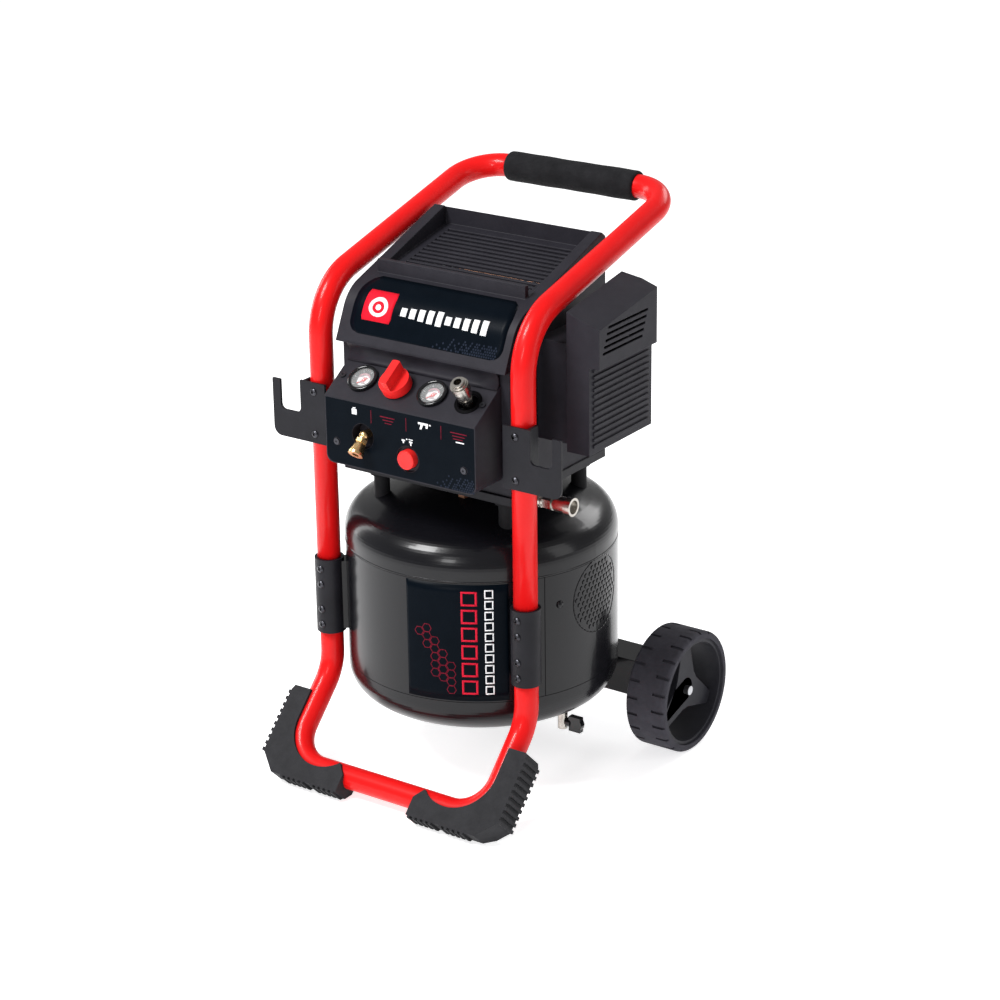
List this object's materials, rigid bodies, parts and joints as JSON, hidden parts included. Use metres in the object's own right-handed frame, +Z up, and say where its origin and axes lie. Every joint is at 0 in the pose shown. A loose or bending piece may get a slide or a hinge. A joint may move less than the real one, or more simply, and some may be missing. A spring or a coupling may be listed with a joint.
{
  "type": "air compressor",
  "caption": "Upright portable air compressor: black tank on a red tube trolley with two wheels, pump unit and control panel on top, foam handle grip.",
  "frame": {"origin": "on the floor, under the middle of the whole object", "axes": "+Z up; -Y is the front, with the control panel and the feet; +X is on the right as seen from the front"},
  "size_m": [0.474, 0.483, 0.7316],
  "materials": {
    "red_paint": "glossy red powder coat",
    "black_gloss_paint": "gloss black paint",
    "black_satin_paint": "satin black powder coat",
    "grip_foam": "matte closed-cell foam",
    "foot_rubber": "matte moulded rubber",
    "mount_rubber": "matte moulded rubber",
    "tyre_rubber": "solid tyre rubber",
    "rim_plastic": "satin moulded plastic",
    "cover_plastic": "finely textured moulded plastic",
    "gloss_black_plastic": "smooth glossy plastic",
    "dark_screw": "black zinc screws",
    "nickel": "nickel plate",
    "steel": "zinc-plated steel",
    "brass": "turned brass",
    "copper_pipe": "drawn copper pipe",
    "aluminium": "cast aluminium",
    "red_plastic": "satin red moulded plastic",
    "dial_face": "printed white dial",
    "needle_paint": "painted pointer",
    "gauge_lens": "clear window"
  },
  "bodies": {
    "compressor": {"upper_frame": "red_paint", "lower_frame": "red_paint", "handle_grip": "grip_foam", "sleeve_left": "black_satin_paint", "sleeve_right": "black_satin_paint", "frame_screws": "dark_screw", "tank_bracket_left": "black_gloss_paint", "tank_bracket_right": "black_gloss_paint", "hook_left": "black_satin_paint", "hook_right": "black_satin_paint", "foot_left": "foot_rubber", "foot_right": "foot_rubber", "tank_wall": "black_gloss_paint", "tank_head_top": "black_gloss_paint", "tank_head_bottom": "black_gloss_paint", "drain_valve": "nickel", "axle_bracket": "black_gloss_paint", "axle": "steel", "axle_nuts": "nickel", "rubber_mounts": "mount_rubber", "base_pan": "black_satin_paint", "pump_housing": "cover_plastic", "motor_housing": "aluminium", "stator": "steel", "crankcases": "aluminium", "cylinders": "aluminium", "head_left": "aluminium", "head_right": "aluminium", "delivery_pipe": "copper_pipe", "check_valve": "brass", "cable_gland": "gloss_black_plastic", "control_box": "cover_plastic", "box_screws": "dark_screw", "manifold": "aluminium", "pressure_switch": "gloss_black_plastic", "gauge_cases": "gloss_black_plastic", "gauge_dials": "dial_face", "gauge_lenses": "gauge_lens", "coupler_body": "nickel", "tank_outlet": "brass", "tank_pipe": "copper_pipe", "safety_valve": "nickel", "top_cover": "cover_plastic", "side_shroud": "cover_plastic"},
    "wheel_left": {"rim_left": "rim_plastic", "tyre_left": "tyre_rubber"},
    "wheel_right": {"rim_right": "rim_plastic", "tyre_right": "tyre_rubber"},
    "regulator_knob": {"regulator_knob": "red_plastic"},
    "power_button": {"power_button": "red_plastic"},
    "coupler_sleeve": {"coupler_sleeve": "nickel"},
    "safety_pull": {"safety_pull": "nickel"},
    "drain_knob": {"drain_knob": "gloss_black_plastic"},
    "needle_left": {"needle_left": "needle_paint"},
    "needle_right": {"needle_right": "needle_paint"},
    "rotor": {"rotor": "steel", "fan": "cover_plastic"},
    "piston_left": {"piston_left": "aluminium"},
    "piston_right": {"piston_right": "aluminium"}
  },
  "joints": [
    {"name": "wheel_left_spin", "type": "hinge", "parent": "compressor", "child": "wheel_left", "pos_m": [-0.2085, 0.14404, 0.08], "axis": [1, 0, 0], "continuous": true},
    {"name": "wheel_right_spin", "type": "hinge", "parent": "compressor", "child": "wheel_right", "pos_m": [0.2085, 0.14404, 0.08], "axis": [1, 0, 0], "continuous": true},
    {"name": "regulator_turn", "type": "hinge", "parent": "compressor", "child": "regulator_knob", "pos_m": [-0.0208, -0.13423, 0.53042], "axis": [0, -0.553, 0.8332], "range_deg": [0, 990]},
    {"name": "power_press", "type": "slide", "parent": "compressor", "child": "power_button", "axis": [0, 1, 0], "range_m": [0, 0.004], "stiffness_N_per_m": 500, "springref_m": -0.002},
    {"name": "coupler_release", "type": "slide", "parent": "compressor", "child": "coupler_sleeve", "axis": [0, 0.553, -0.8332], "range_m": [0, 0.004], "stiffness_N_per_m": 800, "springref_m": -0.003},
    {"name": "safety_pull_out", "type": "slide", "parent": "compressor", "child": "safety_pull", "axis": [1, 0, 0], "range_m": [0, 0.003], "stiffness_N_per_m": 1500, "springref_m": -0.003},
    {"name": "drain_turn", "type": "hinge", "parent": "compressor", "child": "drain_knob", "pos_m": [0.122, 0.00804, 0.06451], "axis": [1, 0, 0], "range_deg": [0, 90]},
    {"name": "needle_left_swing", "type": "hinge", "parent": "compressor", "child": "needle_left", "pos_m": [-0.0728, -0.13091, 0.52542], "axis": [0, -0.553, 0.8332], "range_deg": [-270, 0], "stiffness_Nm_per_rad": 0.0002},
    {"name": "needle_right_swing", "type": "hinge", "parent": "compressor", "child": "needle_right", "pos_m": [0.0312, -0.13091, 0.52542], "axis": [0, -0.553, 0.8332], "range_deg": [-270, 0], "stiffness_Nm_per_rad": 0.0002},
    {"name": "rotor_spin", "type": "hinge", "parent": "compressor", "child": "rotor", "pos_m": [0, 0.00804, 0.525], "axis": [1, 0, 0], "continuous": true},
    {"name": "piston_left_stroke", "type": "slide", "parent": "compressor", "child": "piston_left", "axis": [0, 0, 1], "range_m": [-0.005, 0.005]},
    {"name": "piston_right_stroke", "type": "slide", "parent": "compressor", "child": "piston_right", "axis": [0, 0, 1], "range_m": [-0.005, 0.005]}
  ]
}
